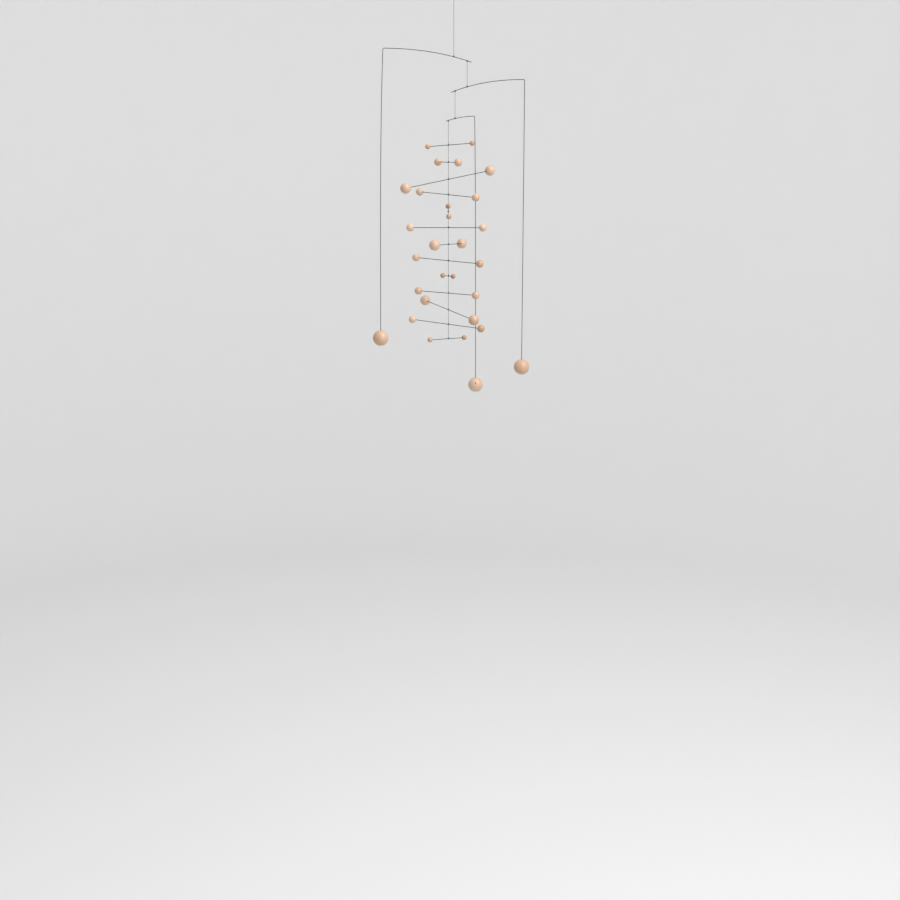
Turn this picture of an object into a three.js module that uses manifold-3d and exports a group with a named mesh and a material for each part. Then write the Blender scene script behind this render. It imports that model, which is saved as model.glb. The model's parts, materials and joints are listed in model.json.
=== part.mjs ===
// A hanging mobile: turned beech balls on three spring-wire arms, hung one inside the next,
// and a column of short rods on one thread in the middle, each rod with a ball on both ends.
// Millimetres and degrees, +Z up, +Y away from the viewer. The origin is where the hanging
// loop bears on what holds it.

import * as THREE from 'three';
import { mergeVertices } from 'three/addons/utils/BufferGeometryUtils.js';
import Module from 'manifold-3d';

const wasm = await Module();
wasm.setup();

// Stock: wire, thread and balls, all by diameter.
const ARM_WIRE = 1.2;
const ROD_WIRE = 1.2;
const THREAD = 0.7;
const LOOP_KNOT = 3.2;
const ARM_BALL = 30;
const ROD_BALL = { small: 10, medium: 15, large: 20 };

// Each rod is as long as its balls are apart, centre to centre.
const ROD_SPAN = { small: 90, medium: 140, large: 190 };

// Room left round a wire in its hole or knot, and between a knot and a thread that turns on it.
const FIT = 0.3;
const KNOT_WRAP = 0.8;      // thread and glue outside that room

// The arms. step is how far the free end carries the next thread beyond the thread that holds
// the arm, droop is how far the top wire has fallen there, drop is the leg from the bend to the
// ball's centre, splay is how far the ball stands outside the bend, and turn is the way from
// the bend to the free end, seen from above.
const OUTER = { step: 28, droop: 20.5, drop: 534, splay: 11, turn: 26 };
const MIDDLE = { step: 26, droop: 20, drop: 539, splay: 1, turn: 151 };
const INNER = { step: 29, droop: 6.5, drop: 538, splay: 9.5, turn: 244 };
const ARM_BEND = 2.5;       // radius of the bend
const ARM_STUB = 9;         // wire beyond the last thread
const DROOP_POWER = 2.3;    // the top wire falls faster towards its free end
const SWING_GAP = 11;       // left clear round whatever turns inside an arm

// Threads, from the middle of one tie to the middle of the next.
const TOP_THREAD = 140;
const MIDDLE_THREAD = 47.5;
const INNER_THREAD = 51.3;
const FIRST_ROD = 45.5;
const ROD_PITCH = 31;
const LOOP_HEIGHT = 20;
const LOOP_WIDTH = 9;

// The rods from the top down, as each one came to rest: turn and tilt of its right end,
// slip of its middle along the rod from the knot, and how far its knot was tied below the mark.
const RODS = [
  { size: 'small', turn: 20, tilt: 3.5, slip: 3.5, low: 0 },
  { size: 'medium', turn: -74, tilt: 2, slip: -4, low: 1 },
  { size: 'large', turn: 31, tilt: 8.5, slip: 0, low: 2 },
  { size: 'medium', turn: -40, tilt: -2, slip: -2.5, low: 0 },
  { size: 'small', turn: -89, tilt: -8, slip: 0, low: 0.5 },
  { size: 'medium', turn: 4, tilt: -0.5, slip: -3.5, low: 0.5 },
  { size: 'large', turn: 74, tilt: -4.5, slip: 1, low: 1.5 },
  { size: 'medium', turn: -28, tilt: -2, slip: -2, low: 2 },
  { size: 'small', turn: 77, tilt: -8, slip: -2.5, low: 0.5 },
  { size: 'medium', turn: -37, tilt: 1, slip: -4.5, low: 3 },
  { size: 'large', turn: -60, tilt: -4.5, slip: 1.5, low: 4.5 },
  { size: 'medium', turn: -16, tilt: -5, slip: -4, low: 2 },
  { size: 'small', turn: 42, tilt: -3.5, slip: -3, low: -0.5 },
];

// Facets.
const TUBE_SIDES = 8;
const ARCH_STEPS = 9;
const BEND_STEPS = 4;
const LEG_STEPS = 8;
const LOOP_STEPS = 14;
const BALL_PER_DETAIL = 9;  // a ball has one level of facets for each of these across

const rad = THREE.MathUtils.degToRad;
const at = (x, z) => new THREE.Vector3(x, 0, z);
const ballDetail = (diameter) => Math.round(diameter / BALL_PER_DETAIL);
const knotSize = (wire) => wire + 2 * (FIT + KNOT_WRAP);

function beech() {
  return new THREE.MeshStandardMaterial({ color: 0xd8b48e, roughness: 0.55, metalness: 0 });
}

function springWire() {
  return new THREE.MeshStandardMaterial({ color: 0x3d3c3a, roughness: 0.4, metalness: 0.8 });
}

function cotton() {
  return new THREE.MeshStandardMaterial({ color: 0x66625c, roughness: 0.95, metalness: 0 });
}

function mesh(name, geometry, material) {
  const made = new THREE.Mesh(geometry, material);
  made.name = name;
  return made;
}

// A path that keeps each of its points as a station of the tube drawn along it.
class StationPath extends THREE.Curve {
  constructor(points) {
    super();
    this.points = points;
    this.last = points.length - 1;
  }
  getPoint(t) {
    const i = Math.min(Math.floor(t * this.last), this.last - 1);
    return this.points[i].clone().lerp(this.points[i + 1], t * this.last - i);
  }
  getPointAt(u) {
    return this.getPoint(u);
  }
  getTangentAt(u) {
    const i = Math.round(u * this.last);
    const before = this.points[Math.max(i - 1, 0)];
    const after = this.points[Math.min(i + 1, this.last)];
    return after.clone().sub(before).normalize();
  }
}

// A closed round tube of a given diameter through the points.
function tube(points, diameter) {
  const section = [];
  for (let i = 0; i < TUBE_SIDES; i++) {
    const angle = 2 * Math.PI * i / TUBE_SIDES;
    section.push(new THREE.Vector2(Math.cos(angle), Math.sin(angle)).multiplyScalar(diameter / 2));
  }
  return new THREE.ExtrudeGeometry(new THREE.Shape(section), {
    steps: points.length - 1,
    extrudePath: new StationPath(points),
  });
}

// A tube's outline for cutting, with its flats, not its corners, clear of the wire by FIT.
function drill(points, wire) {
  return solid(tube(points, (wire + 2 * FIT) / Math.cos(Math.PI / TUBE_SIDES)));
}

function solid(geometry) {
  const bare = geometry.clone();
  bare.deleteAttribute('normal');
  bare.deleteAttribute('uv');
  const merged = mergeVertices(bare);
  return new wasm.Manifold(new wasm.Mesh({
    numProp: 3,
    vertProperties: merged.attributes.position.array,
    triVerts: new Uint32Array(merged.index.array),
  }));
}

function geometryOf(body) {
  const { vertProperties, triVerts } = body.getMesh();
  const geometry = new THREE.BufferGeometry();
  geometry.setAttribute('position', new THREE.BufferAttribute(vertProperties, 3));
  geometry.setIndex(new THREE.BufferAttribute(triVerts, 1));
  geometry.computeVertexNormals();
  return geometry;
}

// A turned ball, drilled from the top to just past its centre, where the wire ends.
function drilledBall(name, diameter, wire) {
  const hole = drill([at(0, -FIT), at(0, diameter)], wire);
  const ball = solid(new THREE.IcosahedronGeometry(diameter / 2, ballDetail(diameter)));
  return mesh(name, geometryOf(ball.subtract(hole)), beech());
}

// A knot as a plain round lump at (x, z).
function lump(diameter, x, z) {
  return solid(new THREE.OctahedronGeometry(diameter / 2, 1).translate(x, 0, z));
}

// A knot round an arm at (x, z), with room for the wire, which climbs at the given slope.
function armKnot(x, z, slope) {
  const size = knotSize(ARM_WIRE);
  const along = new THREE.Vector2(1, slope).normalize().multiplyScalar(size);
  const hole = drill([at(x - along.x, z - along.y), at(x + along.x, z + along.y)], ARM_WIRE);
  return lump(size, x, z).subtract(hole);
}

// One arm's sizes, from the radius that must turn freely inside it.
function sized(arm, swingInside) {
  const reach = swingInside + SWING_GAP;
  const grip = reach - arm.step;
  const fall = (s) => arm.droop * (s / reach) ** DROOP_POWER;
  const slope = (s) => -DROOP_POWER * fall(s) / s;
  const ballSide = grip + arm.splay + ARM_BALL / 2;
  return { ...arm, reach, grip, fall, slope, swing: Math.max(arm.step + swingInside, ballSide) };
}

// An arm in its own frame: the thread that holds it is tied at the origin and +X runs to the
// free end. It gives the height of the bend and of the last tie with the group.
function makeArm(label, arm) {
  const group = new THREE.Group();
  const bendHeight = arm.fall(arm.grip);
  const tieHeight = bendHeight - arm.fall(arm.reach);

  const stations = [];
  for (let i = 0; i < ARCH_STEPS; i++) {
    const s = THREE.MathUtils.lerp(arm.reach + ARM_STUB, ARM_BEND, i / ARCH_STEPS);
    stations.push(at(s - arm.grip, bendHeight - arm.fall(s)));
  }
  for (let i = 0; i < BEND_STEPS; i++) {
    const angle = Math.PI / 2 * (1 + i / BEND_STEPS);
    const x = ARM_BEND * (1 + Math.cos(angle)) - arm.grip;
    stations.push(at(x, bendHeight - ARM_BEND * (1 - Math.sin(angle))));
  }
  for (let i = 0; i <= LEG_STEPS; i++) {
    const t = i / LEG_STEPS;
    const out = arm.splay * (t + 1 - (1 - t) ** 4) / 2;
    stations.push(at(-arm.grip - out, bendHeight - THREE.MathUtils.lerp(ARM_BEND, arm.drop, t)));
  }
  group.add(mesh(`${label}_arm_wire`, tube(stations, ARM_WIRE), springWire()));

  const [above, end] = stations.slice(-2);
  const ball = drilledBall(`${label}_arm_ball`, ARM_BALL, ARM_WIRE);
  ball.position.copy(end);
  ball.rotation.y = Math.atan2(above.x - end.x, above.z - end.z);
  group.add(ball);

  const hitch = armKnot(0, 0, arm.slope(arm.grip));
  group.add(mesh(`${label}_arm_hitch`, geometryOf(hitch), cotton()));
  return { group, tieHeight };
}

// The knot round an arm's free end, in the arm's frame.
function tipKnot(arm, tieHeight) {
  return armKnot(arm.step, tieHeight, arm.slope(arm.reach));
}

// The same with the thread that hangs from it, which stops just above the next arm's hitch.
function threadFromTip(name, arm, tieHeight, length) {
  const size = knotSize(ARM_WIRE);
  const top = tieHeight - (ARM_WIRE / 2 + FIT + size / 2) / 2;
  const bottom = tieHeight - length + size / 2 + FIT;
  const drop = solid(tube([at(arm.step, top), at(arm.step, bottom)], THREAD));
  return mesh(name, geometryOf(tipKnot(arm, tieHeight).add(drop)), cotton());
}

// The thread that holds everything: a tied loop above, and the drop to the outer arm's hitch.
// The loop is a teardrop, sin(2t) sin(t) wide, and that is 4 / (3 root 3) at its widest.
function hangingThread() {
  const halfWidth = LOOP_WIDTH / 2 / (4 / (3 * Math.sqrt(3)));
  const loop = [];
  for (let i = 0; i <= LOOP_STEPS; i++) {
    const turn = Math.PI * i / LOOP_STEPS;
    const x = halfWidth * Math.sin(2 * turn) * Math.sin(turn);
    const z = THREAD / 2 - LOOP_HEIGHT * Math.cos(turn) ** 2;
    loop.push(at(x, z));
  }
  const drop = [loop[0], at(0, -TOP_THREAD + knotSize(ARM_WIRE) / 2 + FIT)];
  const tied = lump(LOOP_KNOT, loop[0].x, loop[0].z);
  const body = tied.add(solid(tube(loop, THREAD))).add(solid(tube(drop, THREAD)));
  return mesh('hanging_thread', geometryOf(body), cotton());
}

const rodHeight = (rod, i) => -FIRST_ROD - ROD_PITCH * i - rod.low;

// The column's thread, from just under the inner arm's free end, with a knot round each rod.
function columnThread() {
  const size = knotSize(ROD_WIRE);
  const top = -knotSize(ARM_WIRE) / 2 - FIT;
  const bottom = rodHeight(RODS.at(-1), RODS.length - 1);
  let body = solid(tube([at(0, top), at(0, bottom)], THREAD));
  RODS.forEach((rod, i) => {
    body = body.add(lump(size, 0, rodHeight(rod, i)));
  });
  RODS.forEach((rod, i) => {
    const hole = drill([at(-size, 0), at(size, 0)], ROD_WIRE);
    const turned = hole.rotate([0, -rod.tilt, 0]).rotate([0, 0, rod.turn]);
    body = body.subtract(turned.translate([0, 0, rodHeight(rod, i)]));
  });
  return mesh('column_thread', geometryOf(body), cotton());
}

// A rod with its two balls, in its own frame: the knot at the origin and +X to the right end.
function makeRod(rod, i) {
  const number = String(i + 1).padStart(2, '0');
  const span = ROD_SPAN[rod.size];
  const group = new THREE.Group();
  const ends = [at(rod.slip - span / 2, 0), at(rod.slip + span / 2, 0)];
  group.add(mesh(`rod_${number}`, tube(ends, ROD_WIRE), springWire()));
  ['left', 'right'].forEach((side, k) => {
    const name = `rod_${number}_ball_${side}`;
    const ball = drilledBall(name, ROD_BALL[rod.size], ROD_WIRE);
    ball.position.copy(ends[k]);
    ball.rotation.y = k ? -Math.PI / 2 : Math.PI / 2;
    group.add(ball);
  });
  group.rotation.set(0, rad(-rod.tilt), rad(rod.turn), 'ZYX');
  group.position.z = rodHeight(rod, i);
  return group;
}

// Each arm is sized round what hangs inside it, from the column outwards.
const rodRadius = (rod) => (ROD_SPAN[rod.size] + ROD_BALL[rod.size]) / 2 + Math.abs(rod.slip);
const columnRadius = Math.max(...RODS.map(rodRadius));
const inner = sized(INNER, columnRadius);
const middle = sized(MIDDLE, inner.swing);
const outer = sized(OUTER, middle.swing);

const outerArm = makeArm('outer', outer);
const middleArm = makeArm('middle', middle);
const innerArm = makeArm('inner', inner);
const column = new THREE.Group();

outerArm.group.add(threadFromTip('middle_thread', outer, outerArm.tieHeight, MIDDLE_THREAD));
middleArm.group.add(threadFromTip('inner_thread', middle, middleArm.tieHeight, INNER_THREAD));
innerArm.group.add(mesh('column_top_knot', geometryOf(tipKnot(inner, innerArm.tieHeight)), cotton()));
column.add(columnThread());
RODS.forEach((rod, i) => column.add(makeRod(rod, i)));

outerArm.group.position.z = -TOP_THREAD;
outerArm.group.rotation.z = rad(outer.turn);
middleArm.group.position.set(outer.step, 0, outerArm.tieHeight - MIDDLE_THREAD);
middleArm.group.rotation.z = rad(middle.turn - outer.turn);
innerArm.group.position.set(middle.step, 0, middleArm.tieHeight - INNER_THREAD);
innerArm.group.rotation.z = rad(inner.turn - middle.turn);
column.position.set(inner.step, 0, innerArm.tieHeight);
column.rotation.z = rad(-inner.turn);

innerArm.group.add(column);
middleArm.group.add(innerArm.group);
outerArm.group.add(middleArm.group);

const mobile = new THREE.Group();
mobile.add(hangingThread(), outerArm.group);

export default mobile;
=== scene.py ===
# A hanging mobile: turned beech balls on three spring-wire arms, and a column of short rods.
# Sizes are in millimetres, turned to metres where a mesh is made. +Y is away from the viewer.

import json
import math

import bpy
import numpy as np
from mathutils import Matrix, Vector


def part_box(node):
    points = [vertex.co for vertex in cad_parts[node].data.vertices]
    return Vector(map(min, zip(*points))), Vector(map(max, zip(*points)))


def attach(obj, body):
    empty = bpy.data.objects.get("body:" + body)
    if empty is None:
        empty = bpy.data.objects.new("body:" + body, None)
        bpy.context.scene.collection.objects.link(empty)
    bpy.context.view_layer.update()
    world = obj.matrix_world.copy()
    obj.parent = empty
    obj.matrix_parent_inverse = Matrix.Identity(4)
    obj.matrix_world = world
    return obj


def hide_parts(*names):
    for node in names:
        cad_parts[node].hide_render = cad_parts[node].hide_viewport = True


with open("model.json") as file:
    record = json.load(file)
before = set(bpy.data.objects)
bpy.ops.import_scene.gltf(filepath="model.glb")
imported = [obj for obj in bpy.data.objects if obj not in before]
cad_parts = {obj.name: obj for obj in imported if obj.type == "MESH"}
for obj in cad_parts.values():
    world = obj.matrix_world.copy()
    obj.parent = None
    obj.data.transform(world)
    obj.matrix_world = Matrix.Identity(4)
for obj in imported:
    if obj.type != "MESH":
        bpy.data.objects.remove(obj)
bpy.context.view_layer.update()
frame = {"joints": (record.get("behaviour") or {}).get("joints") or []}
MM = 0.001


# The viewpoint: a little above the arms, through a short telephoto lens tipped down, so that
# the mobile hangs near the top of the picture.
CAMERA_AT = (-7.2, -2753, -212)
CAMERA_TIP = 14
CAMERA_LENS = 56.72
CAMERA_SENSOR = 36

camera_data = bpy.data.cameras.new("viewpoint")
camera_data.lens = CAMERA_LENS
camera_data.sensor_width = CAMERA_SENSOR
camera = bpy.data.objects.new("viewpoint", camera_data)
camera.location = [c * MM for c in CAMERA_AT]
camera.rotation_euler = (math.radians(90 - CAMERA_TIP), 0, 0)
bpy.context.scene.collection.objects.link(camera)
bpy.context.scene.camera = camera
# Tones are shown as the light gives them, with no film curve over them.
bpy.context.scene.view_settings.view_transform = "Standard"


# The threads that the arms hang on. Each is three plies of grey cotton twisted together, thin
# enough to let an arm turn on it, and tied to the wire above and the wire below.
THREAD = 0.7
ARM_WIRE = 1.2
LOOP_HEIGHT = 20
PLY_TURN = 2.6           # length of thread in which a ply winds once round
PLIES = 3
PLY_DEPTH = 0.2          # depth of the groove between two plies, as a share of the radius
RING_STEP = 0.2          # one ring of the mesh

# The arms, in the order they hang. turn is the way from the bend to the free end, seen from
# above, reach is how far the last tie lies from the bend, step how far it lies from the tie
# that holds the arm, droop how far the wire has fallen there, drop how far the foot is below
# the bend, and splay how far out it is.
ARMS = {
    "outer": {"turn": 26, "reach": 172.5, "step": 28, "droop": 20.5, "drop": 534, "splay": 11},
    "middle": {"turn": 151, "reach": 146.5, "step": 26, "droop": 20, "drop": 539, "splay": 1},
    "inner": {"turn": 244, "reach": 117.5, "step": 29, "droop": 6.5, "drop": 538, "splay": 9.5},
}
DROOP_POWER = 2.3        # the wire falls faster towards its free end
ALONG_X = np.array([1.0, 0.0, 0.0])
ALONG_Z = np.array([0.0, 0.0, 1.0])


def srgb(code):
    """An sRGB hex colour as linear red, green, blue and alpha 1."""
    parts = np.array([int(code[i:i + 2], 16) for i in (1, 3, 5)]) / 255
    low = parts / 12.92
    high = ((parts + 0.055) / 1.055) ** 2.4
    return (*np.where(parts <= 0.04045, low, high).tolist(), 1.0)


def blank_material(name):
    """A new material and its node tree, which holds no nodes yet."""
    material = bpy.data.materials.new(name)
    material.use_nodes = True
    material.node_tree.nodes.clear()
    return material, material.node_tree


def add(tree, kind, inputs=(), **settings):
    """Adds a node with its settings. Each input is a plain value, or the output linked to it."""
    node = tree.nodes.new(kind)
    for name, value in settings.items():
        setattr(node, name, value)
    for name, value in dict(inputs).items():
        if isinstance(value, bpy.types.NodeSocket):
            tree.links.new(value, node.inputs[name])
        else:
            node.inputs[name].default_value = value
    return node


def unit(vectors):
    """The vectors, each scaled to length one."""
    return vectors / np.linalg.norm(vectors, axis=-1, keepdims=True)


def walked(path):
    """How far along the path each of its points lies."""
    return np.concatenate([[0], np.cumsum(np.linalg.norm(np.diff(path, axis=0), axis=1))])


def resampled(path, step):
    """The same path with its points one step apart."""
    far = walked(path)
    at = np.linspace(0, far[-1], max(2, round(far[-1] / step)) + 1)
    return np.stack([np.interp(at, far, path[:, axis]) for axis in range(3)], -1)


def swept(path, side, radii):
    """A section carried along a path, as a grid of points. radii is the distance from the path
    for each point of each ring, starting from the direction side, squared up to the path. The
    first and the last ring shrink to the ends of the path."""
    ahead = unit(np.gradient(path, axis=0))
    across = unit(np.cross(ahead, np.broadcast_to(side, path.shape)))
    up = np.cross(across, ahead)
    angle = np.linspace(0, 2 * np.pi, radii.shape[1], endpoint=False)[:, None]
    ring = up[:, None] * np.cos(angle) + across[:, None] * np.sin(angle)
    skin = path[:, None] + ring * radii[..., None]
    start = np.repeat(path[:1, None], radii.shape[1], 1)
    end = np.repeat(path[-1:, None], radii.shape[1], 1)
    return np.concatenate([start, skin, end])


def twisted(path, side, diameter, around=15):
    """A twisted thread along a fine path. Its radius falls and rises once for each ply round
    the section, and the pattern turns once in PLY_TURN. Gives the grid, and how deep in the
    groove between two plies each point lies, from 0 to 1."""
    angle = np.linspace(0, 2 * np.pi, around, endpoint=False)
    wave = np.cos(PLIES * (angle + 2 * np.pi * walked(path)[:, None] / PLY_TURN))
    groove = (1 - wave) / 2
    grid = swept(path, side, diameter / 2 * (1 - PLY_DEPTH * groove))
    return grid, np.concatenate([groove[:1], groove, groove[-1:]])


def closed_skin(grid):
    """Vertices and outward faces of a closed skin over rows of rings. The first and the last
    row have shrunk to a point, so each becomes one pole. The skin's signed volume says which
    way its faces run."""
    rows, around = grid.shape[:2]
    vertices = np.vstack([grid[0, :1], grid[1:-1].reshape(-1, 3), grid[-1, :1]])
    index = 1 + np.arange((rows - 2) * around).reshape(rows - 2, around)
    beside = np.roll(index, -1, axis=1)
    quads = np.stack([index[:-1], beside[:-1], beside[1:], index[1:]], -1).reshape(-1, 4)
    first = np.stack([0 * index[0], beside[0], index[0]], -1)
    last = np.stack([0 * index[0] + len(vertices) - 1, index[-1], beside[-1]], -1)
    corners = (vertices - vertices.mean(0))[np.vstack([quads[:, :3], quads[:, [0, 2, 3]],
                                                       first, last])]
    volume = (corners[:, 0] * np.cross(corners[:, 1], corners[:, 2])).sum()
    turn = 1 if volume > 0 else -1
    return vertices, [face for part in (quads, first, last) for face in part[:, ::turn].tolist()]


def poled(values):
    """The values of a grid's points in the order of its skin's vertices."""
    return np.concatenate([values[0, :1], values[1:-1].reshape(-1, *values.shape[2:]),
                           values[-1, :1]])


def piece(name, grids, material, body, slot, nodes=(), **attributes):
    """One object at the origin, of one or more closed skins, that moves with a body and stands
    for the given solids. An attribute holds one array for each grid: a number or a vector for
    each of its points. Edges sharper than 40 degrees stay sharp."""
    vertices, faces, start = [], [], 0
    for grid in grids:
        points, sides = closed_skin(grid)
        vertices.append(points)
        faces += [[corner + start for corner in side] for side in sides]
        start += len(points)
    mesh = bpy.data.meshes.new(name)
    mesh.from_pydata((np.vstack(vertices) * MM).tolist(), [], faces)
    mesh.polygons.foreach_set("use_smooth", np.ones(len(mesh.polygons), bool))
    mesh.set_sharp_from_angle(angle=math.radians(40))
    for label, values in attributes.items():
        flat = np.concatenate([poled(v) for v in values]).astype(np.float32)
        is_vector = flat.ndim == 2
        layer = mesh.attributes.new(label, "FLOAT_VECTOR" if is_vector else "FLOAT", "POINT")
        layer.data.foreach_set("vector" if is_vector else "value", flat.ravel())
    mesh.materials.append(material)
    made = bpy.data.objects.new(name, mesh)
    bpy.context.scene.collection.objects.link(made)
    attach(made, body)
    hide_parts(*nodes)
    return made


def fall(arm, s):
    """How far the arm's wire has fallen at s from its bend: droop times (s / reach) to a power."""
    sizes = ARMS[arm]
    return sizes["droop"] * (s / sizes["reach"]) ** DROOP_POWER


def placed(arm, x, z):
    """Points of an arm's own plane. x runs to the free end and z up, from the tie that holds it."""
    turn = math.radians(ARMS[arm]["turn"])
    flat = np.multiply.outer(x, [math.cos(turn), math.sin(turn), 0.0])
    return hitch_at[arm] + flat + np.multiply.outer(z, ALONG_Z)


def wire_run(arm, s):
    """Direction of the arm's wire at s from its bend, out along the arm and falling."""
    slope = -DROOP_POWER * fall(arm, s) / s
    return unit(placed(arm, 1.0, slope) - hitch_at[arm])


joint_at = {joint["name"]: np.array(joint["pos_m"]) / MM for joint in frame["joints"]}
hitch_at = {arm: joint_at[f"{arm}_arm_turn"] for arm in ARMS}
grip = {arm: sizes["reach"] - sizes["step"] for arm, sizes in ARMS.items()}
tip_at = {arm: placed(arm, sizes["step"], fall(arm, grip[arm]) - sizes["droop"])
          for arm, sizes in ARMS.items()}

# Spun cotton is soft and matt, a middle grey. Down in the twist between the plies it carries
# painted shade, darker where the groove is deeper and broken up by the fibres. Its fibres lie
# about 0.02 mm apart and are drawn ten times as coarse, so that they show.
cotton, tree = blank_material("twisted_cotton_thread")
groove = add(tree, "ShaderNodeAttribute", attribute_name="groove")
place = add(tree, "ShaderNodeTexCoord")
fibres = add(tree, "ShaderNodeTexNoise", {"Vector": place.outputs["Object"], "Scale": 5000.0})
# Painted shade: the thread is painted darker the deeper a point lies in the groove between plies.
groove_shade = add(tree, "ShaderNodeMath", {0: fibres.outputs["Fac"], 1: groove.outputs["Fac"],
                                    2: 0.1}, operation="MULTIPLY_ADD")
shade = add(tree, "ShaderNodeMix", {0: groove_shade.outputs[0], 6: srgb("#474441"), 7: srgb("#1d1b19")},
            data_type="RGBA")
cloth = add(tree, "ShaderNodeBsdfPrincipled", {"Base Color": shade.outputs[2], "Roughness": 0.92,
                                               "IOR": 1.45, "Sheen Weight": 0.15})
add(tree, "ShaderNodeOutputMaterial", {"Surface": cloth.outputs[0]})


def hung_thread(name, start, end, body, node):
    """A plumb thread between two ties. Gives the piece, and its line in metres."""
    path = resampled(np.array([start, end]), RING_STEP)
    grid, depth = twisted(path, ALONG_X, THREAD)
    made = piece(name, [grid], cotton, body, "thread", [node], groove=[depth])
    return made, path * MM


on_wire = ALONG_Z * (ARM_WIRE + THREAD) / 2
loop_tie = ALONG_Z * (THREAD / 2 - LOOP_HEIGHT)
top_thread, top_path = hung_thread(
    "top_thread", hitch_at["outer"] + on_wire, loop_tie, "suspension", "hanging_thread")
second_thread, second_path = hung_thread(
    "second_thread", tip_at["outer"] - on_wire, hitch_at["middle"] + on_wire,
    "outer_arm", "middle_thread")
third_thread, third_path = hung_thread(
    "third_thread", tip_at["middle"] - on_wire, hitch_at["inner"] + on_wire,
    "middle_arm", "inner_thread")


# The column's thread drops plumb past the thirteen rods. At each it steps aside by half a rod
# and half a thread, to one side and then to the other, where it is tied to the rod.
ROD_WIRE = 1.2
RODS = [f"rod_{n:02d}" for n in range(1, 14)]
SIDE_STEP = 2.5          # above and below a rod, where the thread is back on its line


def ball_centre(node):
    """The middle of a ball's solid."""
    low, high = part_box(node)
    return np.array((low + high) / 2) / MM


def stepped_aside(rise):
    """How far the thread stands off its line at a height above the middle of a rod: a smooth
    step up to half the rod and half the thread."""
    near = np.clip(1 - np.abs(rise) / SIDE_STEP, 0, 1)
    return near ** 2 * (3 - 2 * near) * (ROD_WIRE + THREAD) / 2


column_at = tip_at["inner"]
rod_ends = np.array([[ball_centre(f"{rod}_ball_left"), ball_centre(f"{rod}_ball_right")]
                     for rod in RODS])
# Each rod is tied where it passes the column's line, seen from above.
rod_runs = rod_ends[:, 1] - rod_ends[:, 0]
share = (((column_at - rod_ends[:, 0]) * rod_runs)[:, :2].sum(1)
         / (rod_runs[:, :2] ** 2).sum(1))
rod_ties = rod_ends[:, 0] + share[:, None] * rod_runs
rod_runs = unit(rod_runs)

height = np.arange(column_at[2] - on_wire[2], rod_ties[-1, 2], -RING_STEP)
column_path = np.stack([0 * height + column_at[0], 0 * height + column_at[1], height], -1)
beside = unit(np.cross(rod_runs, ALONG_Z)) * ((-1) ** np.arange(len(RODS)))[:, None]
column_path += stepped_aside(height[:, None] - rod_ties[:, 2]) @ beside
column_grid, column_depth = twisted(column_path, ALONG_X, THREAD)
column_thread = piece("column_string", [column_grid], cotton, "column", "thread",
                      ["column_thread"], groove=[column_depth])


# The knots. Each is the thread's own end, wound in close turns round the wire, with its cut
# tail left short and an overhand knot drawn down on it, all set with a drop of instant glue
# that has soaked in and darkened it.
ARM_TURNS = 4
ROD_TURNS = 3
KNOT_STANDS = 1.5        # thread widths from a wire to the knot where its thread leaves
TAIL = 1.6
WIND_PITCH = 1.05        # thread widths from turn to turn
GLUE_PAST = 0.6          # how far the glue runs along the wire beyond the turns
GLUE_DEPTH = 0.85        # thread widths of glue round the wire
KNOT_TIGHT = 0.42        # size of a drawn overhand knot's line, in thread widths

# Glue-soaked cotton is darker than dry thread and has a hard, slightly uneven shine.
soaked, tree = blank_material("glue_soaked_cotton")
place = add(tree, "ShaderNodeTexCoord")
mottle = add(tree, "ShaderNodeTexNoise", {"Vector": place.outputs["Object"], "Scale": 1500.0})
shade = add(tree, "ShaderNodeMix", {0: mottle.outputs["Fac"], 6: srgb("#181614"),
                                    7: srgb("#302d2a")}, data_type="RGBA")
crust = add(tree, "ShaderNodeBsdfPrincipled", {"Base Color": shade.outputs[2], "Roughness": 0.35,
                                               "IOR": 1.48, "Coat Weight": 0.4,
                                               "Coat Roughness": 0.12})
add(tree, "ShaderNodeOutputMaterial", {"Surface": crust.outputs[0]})


def cross_directions(axis):
    """Two directions square to an axis and to each other."""
    side = unit(np.cross(axis, ALONG_Z if abs(axis[2]) < 0.9 else ALONG_X))
    return side, np.cross(axis, side)


def eased(path, reach=4):
    """The path with its corners rounded, by a running mean. Its ends stay where they are."""
    padded = np.pad(path, ((reach, reach), (0, 0)), "edge")
    width = 2 * reach + 1
    mean = sum(padded[i:i + len(path)] for i in range(width)) / width
    mean[[0, -1]] = path[[0, -1]]
    return mean


def winding(tie, axis, wire, thread, turns):
    """The wound turns of one knot and their tail: a helix round the wire, as far out as half
    the wire and half the thread, that leaves the wire at its end."""
    side, other = cross_directions(axis)
    turn = np.linspace(0, 2 * np.pi * turns, 36 * turns)[:, None]
    outward = side * np.cos(turn) + other * np.sin(turn)
    along = axis * thread * WIND_PITCH * (turn / (2 * np.pi) - turns / 2)
    coil = tie + outward * (wire + thread) / 2 + along
    # The tail leans outward, along the wire and a little down.
    lean = unit(outward[-1] * 0.6 + axis * 0.6 - ALONG_Z * 0.5)
    tail = coil[-1] + lean * np.linspace(RING_STEP, TAIL, 12)[:, None]
    path = eased(np.vstack([coil, tail]))
    outward = np.vstack([outward, np.repeat(outward[-1:], len(tail), 0)])
    return twisted(path, outward, thread, 9)


def overhand(centre, thread):
    """An overhand knot drawn tight, as a trefoil: once round, its line goes twice round the
    middle and three times up and down, wide enough for the thread to pass itself."""
    turn = np.linspace(0.1, 2 * np.pi - 0.1, 120)
    trefoil = np.stack([np.sin(turn) + 2 * np.sin(2 * turn),
                        np.cos(turn) - 2 * np.cos(2 * turn), -1.6 * np.sin(3 * turn)], -1)
    return twisted(centre + trefoil * thread * KNOT_TIGHT, ALONG_Z, thread, 9)


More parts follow.
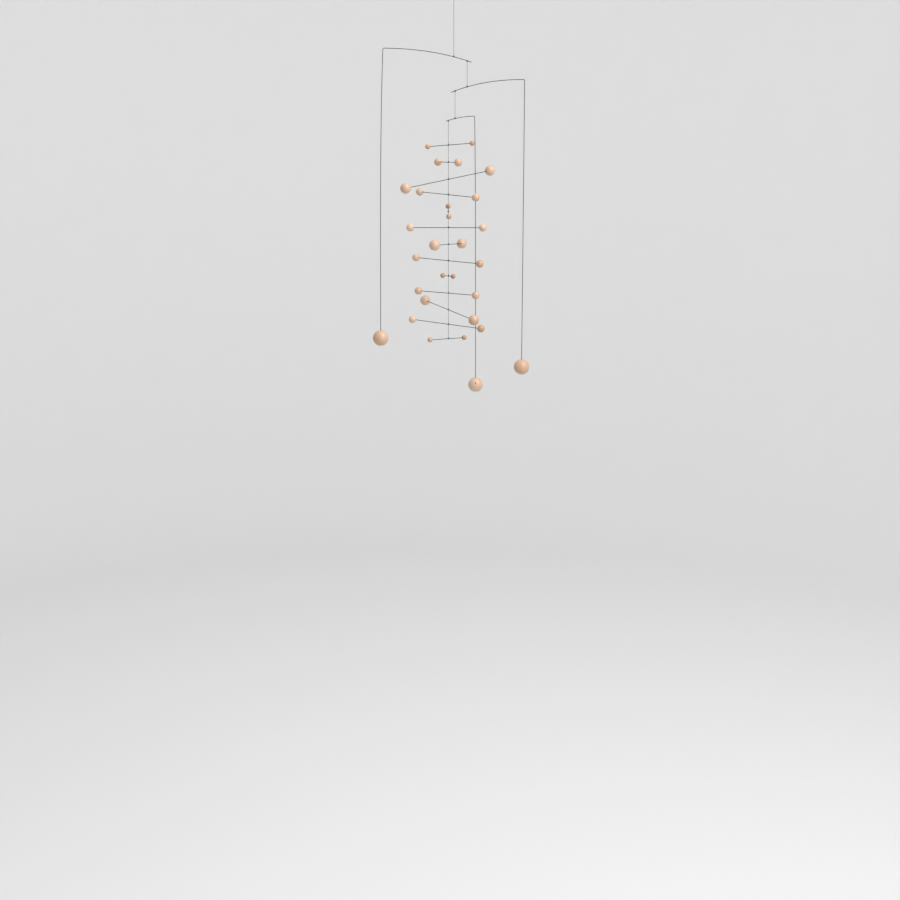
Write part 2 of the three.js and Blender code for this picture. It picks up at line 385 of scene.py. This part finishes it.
def glue_drop(tie, axis, length, radius, around=20, rows=17):
    """A drop drawn out along a wire: half an ellipse turned about the wire's line."""
    side, other = cross_directions(axis)
    lean = np.linspace(0, np.pi, rows)[:, None, None]
    angle = np.linspace(0, 2 * np.pi, around, endpoint=False)[:, None]
    ring = side * np.cos(angle) + other * np.sin(angle)
    return tie - axis * length / 2 * np.cos(lean) + ring * radius * np.sin(lean)


def wire_knot(tie, axis, wire, thread, turns):
    """The grids of one knot round a wire: the wound turns with their tail, and the glue drop,
    out of which the turns still stand."""
    wound, _ = winding(tie, axis, wire, thread, turns)
    length = turns * thread * WIND_PITCH + 2 * GLUE_PAST
    return [wound, glue_drop(tie, axis, length, wire / 2 + thread * GLUE_DEPTH)]


def arm_knot(name, arm, tie, s, leaves, body, node):
    """The knot on an arm's wire, with a tight overhand knot where its thread leaves it."""
    grids = wire_knot(tie, wire_run(arm, s), ARM_WIRE, THREAD, ARM_TURNS)
    standing = tie + ALONG_Z * leaves * (ARM_WIRE / 2 + THREAD * KNOT_STANDS)
    grids.append(overhand(standing, THREAD)[0])
    return piece(name, grids, soaked, body, "thread", [node])


tip_nodes = {"outer": "middle_thread", "middle": "inner_thread", "inner": "column_top_knot"}
for arm, sizes in ARMS.items():
    arm_knot(f"{arm}_holding_knot", arm, hitch_at[arm], grip[arm], 1,
             f"{arm}_arm", f"{arm}_arm_hitch")
    arm_knot(f"{arm}_tip_knot", arm, tip_at[arm], sizes["reach"], -1,
                              f"{arm}_arm", tip_nodes[arm])

rise = ROD_WIRE / 2 + THREAD * KNOT_STANDS
rod_grids = [grid for tie, run in zip(rod_ties, rod_runs)
             for grid in wire_knot(tie, run, ROD_WIRE, THREAD, ROD_TURNS)]
rod_grids += [overhand(tie + ALONG_Z * rise + aside * stepped_aside(rise), THREAD)[0]
              for tie, aside in zip(rod_ties, beside)]
rod_knots = piece("rod_knots", rod_grids, soaked, "column", "thread", ["column_thread"])


# The loop at the top, which a hook or pin holds. It is the hanging thread's own end, doubled
# back and tied in an overhand knot with a short tail.
LOOP_HALF_WIDTH = 4.5
DOUBLED = 1.35                       # its knot takes two strands, pressed together
WIDEST = 4 / (3 * math.sqrt(3))      # the greatest value of sin(2t) sin(t)
LOOP_TAIL = [[0, 0, 0], [1.2, 0.3, -1.5], [2.1, 0.5, -4.5]]      # from the middle of its knot

turn = np.linspace(0, np.pi, 400)
teardrop = np.stack([LOOP_HALF_WIDTH / WIDEST * np.sin(2 * turn) * np.sin(turn), 0 * turn,
                     THREAD / 2 - LOOP_HEIGHT * np.cos(turn) ** 2], -1)
loop_grid, loop_depth = twisted(resampled(teardrop, RING_STEP), np.array([0.0, 1.0, 0.0]), THREAD)
tail = resampled(loop_tie + np.array(LOOP_TAIL), RING_STEP)
tail_grid, tail_depth = twisted(eased(tail), ALONG_X, THREAD)
knot_grid, knot_depth = overhand(loop_tie, THREAD * DOUBLED)
hanging_loop = piece("hanging_loop", [loop_grid, tail_grid, knot_grid], cotton, "suspension",
                     "thread", ["hanging_thread"], groove=[loop_depth, tail_depth, knot_depth])


# The arms: one length of spring wire each. A gently drooping top, cold-bent sharply over a
# corner, and a long leg that stands nearly upright, with its foot glued into the large ball.
ARM_BEND = 2.5           # radius of the bend
ARM_STUB = 9             # wire beyond the last thread
CHAMFER = 0.12           # the nipped end is filed by this much
STREAK_STRETCH = 30      # how many times longer than wide the die's streaks are
TOP_POINTS = 90
BEND_POINTS = 10
LEG_POINTS = 110

# Drawn and blued spring steel: dark grey with a faint brown, satin, with fine streaks along
# the wire from the die. The streaks are 0.15 mm wide and a few millimetres long. The attribute
# drawn is the place on the wire in millimetres, squeezed along it by STREAK_STRETCH.
spring_steel, tree = blank_material("blued_spring_steel")
drawn = add(tree, "ShaderNodeAttribute", attribute_name="drawn")
streaks = add(tree, "ShaderNodeTexNoise", {"Vector": drawn.outputs["Vector"], "Scale": 6.0,
                                           "Detail": 4.0})
shade = add(tree, "ShaderNodeMix", {0: streaks.outputs["Fac"], 6: srgb("#1e1d1c"),
                                    7: srgb("#31302e")}, data_type="RGBA")
dull = add(tree, "ShaderNodeMapRange", {"Value": streaks.outputs["Fac"], "To Min": 0.34,
                                        "To Max": 0.52})
bump = add(tree, "ShaderNodeBump", {"Height": streaks.outputs["Fac"], "Strength": 0.2,
                                    "Distance": 0.00002})
steel = add(tree, "ShaderNodeBsdfPrincipled", {"Base Color": shade.outputs[2], "Metallic": 0.85,
                                               "Roughness": dull.outputs["Result"],
                                               "Normal": bump.outputs["Normal"]})
add(tree, "ShaderNodeOutputMaterial", {"Surface": steel.outputs[0]})


def wire_piece(name, path, side, wire, body, node, around=16):
    """Round wire: a circle carried along a path, shrunk by the chamfer at its two cut ends."""
    ahead = unit(path[1] - path[0])
    back = unit(path[-2] - path[-1])
    path = np.vstack([path[:1], path[:1] + ahead * CHAMFER, path[1:-1],
                      path[-1:] + back * CHAMFER, path[-1:]])
    radii = np.full((len(path), around), wire / 2)
    radii[[0, -1]] -= CHAMFER
    angle = np.linspace(0, 2 * np.pi, around, endpoint=False)
    drawn = np.stack([radii * np.cos(angle), radii * np.sin(angle),
                      np.broadcast_to(walked(path)[:, None] / STREAK_STRETCH, radii.shape)], -1)
    drawn = np.concatenate([drawn[:1], drawn, drawn[-1:]])
    return piece(name, [swept(path, side, radii)], spring_steel, body, "wire", [node],
                 drawn=[drawn])


def arm_path(arm):
    """The line of an arm's wire. The top falls as s to a power, the bend is a quarter circle,
    and the leg leans out fast at first and then steadily."""
    s = np.linspace(ARMS[arm]["reach"] + ARM_STUB, ARM_BEND, TOP_POINTS, endpoint=False)
    bend_height = fall(arm, grip[arm])
    top = placed(arm, s - grip[arm], bend_height - fall(arm, s))
    angle = np.linspace(np.pi / 2, np.pi, BEND_POINTS, endpoint=False)
    bend = placed(arm, ARM_BEND * (1 + np.cos(angle)) - grip[arm],
                  bend_height - ARM_BEND * (1 - np.sin(angle)))
    t = np.linspace(0, 1, LEG_POINTS)
    out = ARMS[arm]["splay"] * (t + 1 - (1 - t) ** 4) / 2
    leg = placed(arm, -grip[arm] - out, bend_height - ARM_BEND - t * (ARMS[arm]["drop"] - ARM_BEND))
    return np.vstack([top, bend, leg])


arm_paths = {arm: arm_path(arm) for arm in ARMS}
for arm, sizes in ARMS.items():
    turn = math.radians(sizes["turn"])
    square = np.array([-math.sin(turn), math.cos(turn), 0.0])
    wire_piece(f"{arm}_wire", arm_paths[arm], square, ARM_WIRE, f"{arm}_arm", f"{arm}_arm_wire")


# The thirteen rods: straight lengths of the same spring wire, nipped to 90, 140 or 190 mm and
# tied to the column's thread near their middles, with a ball glued on each end.
ROD_RING_STEP = 6.0

for rod, (left, right) in zip(RODS, rod_ends):
    wire_piece(f"{rod}_wire", resampled(np.array([left, right]), ROD_RING_STEP), ALONG_Z,
               ROD_WIRE, "column", rod)


# The balls: beech turned round, sanded and waxed, in three sizes on the rods and one on the
# arms. Each is drilled along its grain to just past the middle and glued on the wire's end.
ARM_BALL = 30
ROD_BALL = {90: 10, 140: 15, 190: 20}     # by the length of the rod
HOLE_FIT = 0.1
HOLE_CHAMFER = 0.25
HOLE_PAST = 0.3                         # how far past the ball's middle the hole ends
ROWS = 16                               # rows of the mesh, and how many more for each mm
ROWS_PER_MM = 1.3
PIN_FACES = (0.0, -0.94, 0.37)          # the way the pin knot faces
BOARD_SEED = 29                         # chooses where in the tree each ball was cut
# How brown each ball's wood is, as judged. The smallest balls are mostly of brown
# heartwood, and a few others stand out.
BOARDS = {"rod_01_left": 0.5, "rod_01_right": 0.6, "rod_04_left": -0.3, "rod_05_left": 1.0,
          "rod_05_right": 0.7, "rod_06_left": -0.2, "rod_08_right": 0.5, "rod_09_left": 1.0,
          "rod_09_right": 0.9, "rod_11_right": 0.3, "rod_12_left": -0.5, "rod_12_right": 0.7,
          "rod_13_left": 0.5, "rod_13_right": 1.0}

# Beech is pale and pinkish tan. Its year rings are faint and 2 to 3 mm apart, its pores too
# fine to see, and its rays show as brown dashes 2 mm long on the sides. Wax gives it a low
# sheen. The attribute grain is the place in the tree in millimetres, with Z along the grain.
beech, tree = blank_material("waxed_turned_beech")
grain = add(tree, "ShaderNodeAttribute", attribute_name="grain")
flat = add(tree, "ShaderNodeMapping", {"Vector": grain.outputs["Vector"],
                                       "Scale": (1.0, 1.0, 0.06)})
wander = add(tree, "ShaderNodeTexNoise", {"Vector": flat.outputs[0], "Scale": 0.12,
                                          "Detail": 2.0})
pushed = add(tree, "ShaderNodeVectorMath", {0: wander.outputs["Color"], 1: (5.0, 5.0, 0.0),
                                            2: flat.outputs[0]}, operation="MULTIPLY_ADD")
rings = add(tree, "ShaderNodeTexWave", {"Vector": pushed.outputs[0], "Scale": 0.13,
                                        "Distortion": 0.6, "Detail": 2.0},
            wave_type="RINGS", rings_direction="Z", wave_profile="SAW")
long_way = add(tree, "ShaderNodeMapping", {"Vector": grain.outputs["Vector"],
                                           "Scale": (1.0, 1.0, 0.22)})
rays = add(tree, "ShaderNodeTexVoronoi", {"Vector": long_way.outputs[0], "Scale": 1.5,
                                          "Randomness": 1.0})
ray_dash = add(tree, "ShaderNodeMapRange", {"Value": rays.outputs["Distance"],
                                            "From Min": 0.06, "From Max": 0.2,
                                            "To Min": 1.0, "To Max": 0.0})
fine = add(tree, "ShaderNodeTexNoise", {"Vector": long_way.outputs[0], "Scale": 3.5,
                                        "Detail": 5.0})
ring_tint = add(tree, "ShaderNodeMix", {0: rings.outputs["Fac"], 6: srgb("#c29d81"),
                                        7: srgb("#b28768")}, data_type="RGBA")
fibre_tint = add(tree, "ShaderNodeMix", {0: fine.outputs["Fac"], 6: srgb("#b48c6b"),
                                         7: srgb("#c6a68c")}, data_type="RGBA")
body_tint = add(tree, "ShaderNodeMix", {0: 0.5, 6: ring_tint.outputs[2],
                                        7: fibre_tint.outputs[2]}, data_type="RGBA")
# Balls come from different boards, so one is paler and the next one browner. The attribute
# board goes from -1 for the palest to 1 for the brownest.
board = add(tree, "ShaderNodeAttribute", attribute_name="board")
blotch = add(tree, "ShaderNodeTexNoise", {"Vector": grain.outputs["Vector"], "Scale": 0.02,
                                          "Detail": 0.0})
bleached = add(tree, "ShaderNodeMapRange", {"Value": blotch.outputs["Fac"], "From Min": 0.3,
                                            "From Max": 0.7, "To Min": 0.0, "To Max": 0.6})
paleness = add(tree, "ShaderNodeMath", {0: bleached.outputs["Result"], 1: board.outputs["Fac"]},
               operation="SUBTRACT", use_clamp=True)
pale_tint = add(tree, "ShaderNodeMix", {0: paleness.outputs[0], 6: body_tint.outputs[2],
                                        7: srgb("#cdb7a3")}, data_type="RGBA")
sorted_tint = add(tree, "ShaderNodeMix", {0: board.outputs["Fac"], 6: pale_tint.outputs[2],
                                          7: srgb("#e7e1d3")},
                  data_type="RGBA", blend_type="MULTIPLY")
rayed_tint = add(tree, "ShaderNodeMix", {0: ray_dash.outputs["Result"],
                                         6: sorted_tint.outputs[2], 7: srgb("#8a6040")},
                 data_type="RGBA")
# The inner arm's ball has one pin knot, where a bud had died: a dark dot 2 mm across with an
# uneven edge, in wood that it has stained brown.
pin = add(tree, "ShaderNodeVectorMath", {0: grain.outputs["Vector"]}, operation="DISTANCE")
uneven = add(tree, "ShaderNodeMath", {0: fine.outputs["Fac"], 1: 1.6, 2: pin.outputs["Value"]},
             operation="MULTIPLY_ADD")
pin_stain = add(tree, "ShaderNodeMapRange", {"Value": uneven.outputs[0], "From Min": 1.2,
                                             "From Max": 3.4, "To Min": 0.7, "To Max": 0.0})
stained_tint = add(tree, "ShaderNodeMix", {0: pin_stain.outputs["Result"],
                                           6: rayed_tint.outputs[2], 7: srgb("#8a5c3c")},
                   data_type="RGBA")
pin_dot = add(tree, "ShaderNodeMapRange", {"Value": uneven.outputs[0], "From Min": 1.6,
                                           "From Max": 2.1, "To Min": 1.0, "To Max": 0.0})
wood_tint = add(tree, "ShaderNodeMix", {0: pin_dot.outputs["Result"], 6: stained_tint.outputs[2],
                                        7: srgb("#382113")}, data_type="RGBA")
rough = add(tree, "ShaderNodeMapRange", {"Value": fine.outputs["Fac"], "To Min": 0.42,
                                         "To Max": 0.6})
bump = add(tree, "ShaderNodeBump", {"Height": fine.outputs["Fac"], "Strength": 0.15,
                                    "Distance": 0.00005})
wood = add(tree, "ShaderNodeBsdfPrincipled", {"Base Color": wood_tint.outputs[2],
                                              "Roughness": rough.outputs["Result"],
                                              "IOR": 1.5, "Coat Weight": 0.5,
                                              "Coat Roughness": 0.35,
                                              "Normal": bump.outputs["Normal"]})
add(tree, "ShaderNodeOutputMaterial", {"Surface": wood.outputs[0]})
draw = np.random.default_rng(BOARD_SEED)


def drilled_ball(name, centre, mouth, diameter, wire, body, node):
    """A ball with a blind hole that opens towards mouth: a half circle, a chamfer and the
    hole's wall and floor, turned about the hole's line. The grain runs along the hole. Gives
    the place in the tree of a pin knot on this ball."""
    radius = diameter / 2
    hole = wire / 2 + HOLE_FIT
    rows = round(diameter * ROWS_PER_MM) + ROWS
    lip_lean = math.asin((hole + HOLE_CHAMFER) / radius)
    lean = np.linspace(0, np.pi - lip_lean, rows)
    across = np.concatenate([radius * np.sin(lean), [hole, hole, 0]])
    along = np.concatenate([-radius * np.cos(lean),
                            [radius * math.cos(lip_lean) - HOLE_CHAMFER, -HOLE_PAST, -HOLE_PAST]])
    angle = np.linspace(0, 2 * np.pi, 2 * rows, endpoint=False)
    local = np.stack([np.outer(across, np.cos(angle)), np.outer(across, np.sin(angle)),
                      np.repeat(along[:, None], len(angle), 1)], -1)
    mouth = unit(mouth)
    side, other = cross_directions(mouth)
    grid = centre + local @ np.array([side, other, mouth])
    # Where in the tree this ball was cut: 20 to 70 mm from the pith, turned any way.
    turned, pith = draw.uniform(0, 2 * np.pi), draw.uniform(20, 70)
    spin = np.array([[math.cos(turned), math.sin(turned), 0],
                     [-math.sin(turned), math.cos(turned), 0], [0, 0, 1]])
    cut_at = np.array([pith, draw.uniform(-9, 9), draw.uniform(0, 900)])
    board = np.full(grid.shape[:2], BOARDS.get(name, 0.0))
    piece(name, [grid], beech, body, "beech", [node], grain=[local @ spin + cut_at],
          board=[board])
    pin_on_ball = unit(np.array(PIN_FACES)) @ np.array([side, other, mouth]).T * radius
    return pin_on_ball @ spin + cut_at


for arm, path in arm_paths.items():
    pin_place = drilled_ball(f"{arm}_ball", path[-1], path[-2] - path[-1], ARM_BALL, ARM_WIRE,
                             f"{arm}_arm", f"{arm}_arm_ball")
pin.inputs[1].default_value = pin_place
for rod, (left, right) in zip(RODS, rod_ends):
    size = ROD_BALL[int(round(np.linalg.norm(right - left), -1))]
    for end, centre, mouth in (("left", left, right - left), ("right", right, left - right)):
        drilled_ball(f"{rod}_{end}", centre, mouth, size, ROD_WIRE, "column",
                     f"{rod}_ball_{end}")


# The studio: a round pale backdrop whose floor runs up into its wall in one wide cove, as
# painted plaster does. Its floor is painted a little greyer, rising to the full tone up the
# cove: painted shade that tones down the light the floor gets. It is not part of the mobile.
FLOOR = -2150
WALL = 4700
COVE = 1500
WALL_TOP = 3200
COVE_STEPS = 24
WALL_SIDES = 96

plaster, tree = blank_material("painted_plaster")
place = add(tree, "ShaderNodeTexCoord")
cloudy = add(tree, "ShaderNodeTexNoise", {"Vector": place.outputs["Object"], "Scale": 0.8,
                                          "Detail": 3.0})
shade = add(tree, "ShaderNodeMix", {0: cloudy.outputs["Fac"], 6: srgb("#eaeaea"),
                                    7: srgb("#ececec")}, data_type="RGBA")
height = add(tree, "ShaderNodeSeparateXYZ", {0: place.outputs["Object"]})
up_the_cove = add(tree, "ShaderNodeMapRange", {"Value": height.outputs["Z"],
                                               "From Min": FLOOR * MM,
                                               "From Max": (FLOOR + COVE) * MM})
# Painted shade: the floor is painted greyer than the wall, grading up the cove.
painted_floor_shade = add(tree, "ShaderNodeMix", {0: up_the_cove.outputs["Result"], 6: srgb("#e3e3e3"),
                                        7: shade.outputs[2]}, data_type="RGBA")
paint = add(tree, "ShaderNodeBsdfPrincipled", {"Base Color": painted_floor_shade.outputs[2],
                                               "Roughness": 0.9, "Specular IOR Level": 0.2})
add(tree, "ShaderNodeOutputMaterial", {"Surface": paint.outputs[0]})

lean = np.linspace(0, np.pi / 2, COVE_STEPS)
across = np.concatenate([[1], WALL - COVE + COVE * np.sin(lean), [WALL]])
upward = np.concatenate([[FLOOR], FLOOR + COVE - COVE * np.cos(lean), [WALL_TOP]])
angle = np.linspace(0, 2 * np.pi, WALL_SIDES, endpoint=False)
shell = np.stack([np.outer(across, np.cos(angle)), np.outer(across, np.sin(angle)),
                  np.repeat(upward[:, None], len(angle), 1)], -1)
index = np.arange(shell[..., 0].size).reshape(shell.shape[:2])
beyond = np.roll(index, -1, axis=1)
sides = np.stack([index[:-1], beyond[:-1], beyond[1:], index[1:]], -1).reshape(-1, 4)
backdrop_mesh = bpy.data.meshes.new("backdrop")
backdrop_mesh.from_pydata((shell.reshape(-1, 3) * MM).tolist(), [],
                          sides.tolist() + [index[0, ::-1].tolist()])
backdrop_mesh.polygons.foreach_set("use_smooth", np.ones(len(backdrop_mesh.polygons), bool))
backdrop_mesh.materials.append(plaster)
backdrop = bpy.data.objects.new("backdrop", backdrop_mesh)
bpy.context.scene.collection.objects.link(backdrop)

# A pale sky over the open top fills the room. One large soft lamp in front, high and to the
# right, shapes the balls, a weak one overhead makes their tops paler, and a weaker one low in
# front lifts their undersides. The lamps themselves are never seen.
LAMP_SIZE = 1500
LIT_POINT = (0, 0, -450)
SKY_STRENGTH = 0.65

world = bpy.data.worlds.new("pale_sky")
world.use_nodes = True
sky = world.node_tree.nodes["Background"]
sky.inputs["Color"].default_value = srgb("#ffffff")
sky.inputs["Strength"].default_value = SKY_STRENGTH
bpy.context.scene.world = world


def soft_lamp(name, at, watts):
    """A square area lamp that faces the middle of the mobile."""
    data = bpy.data.lights.new(name, "AREA")
    data.size = LAMP_SIZE * MM
    data.energy = watts
    lamp = bpy.data.objects.new(name, data)
    lamp.location = [c * MM for c in at]
    facing = Vector([t - a for t, a in zip(LIT_POINT, at)])
    lamp.rotation_euler = facing.to_track_quat("-Z", "Y").to_euler()
    lamp.visible_camera = False
    bpy.context.scene.collection.objects.link(lamp)


soft_lamp("key_lamp", (1700, -1500, 1800), 104)
soft_lamp("top_lamp", (0, 600, 2200), 18)
soft_lamp("fill_lamp", (1500, -2500, -900), 15)
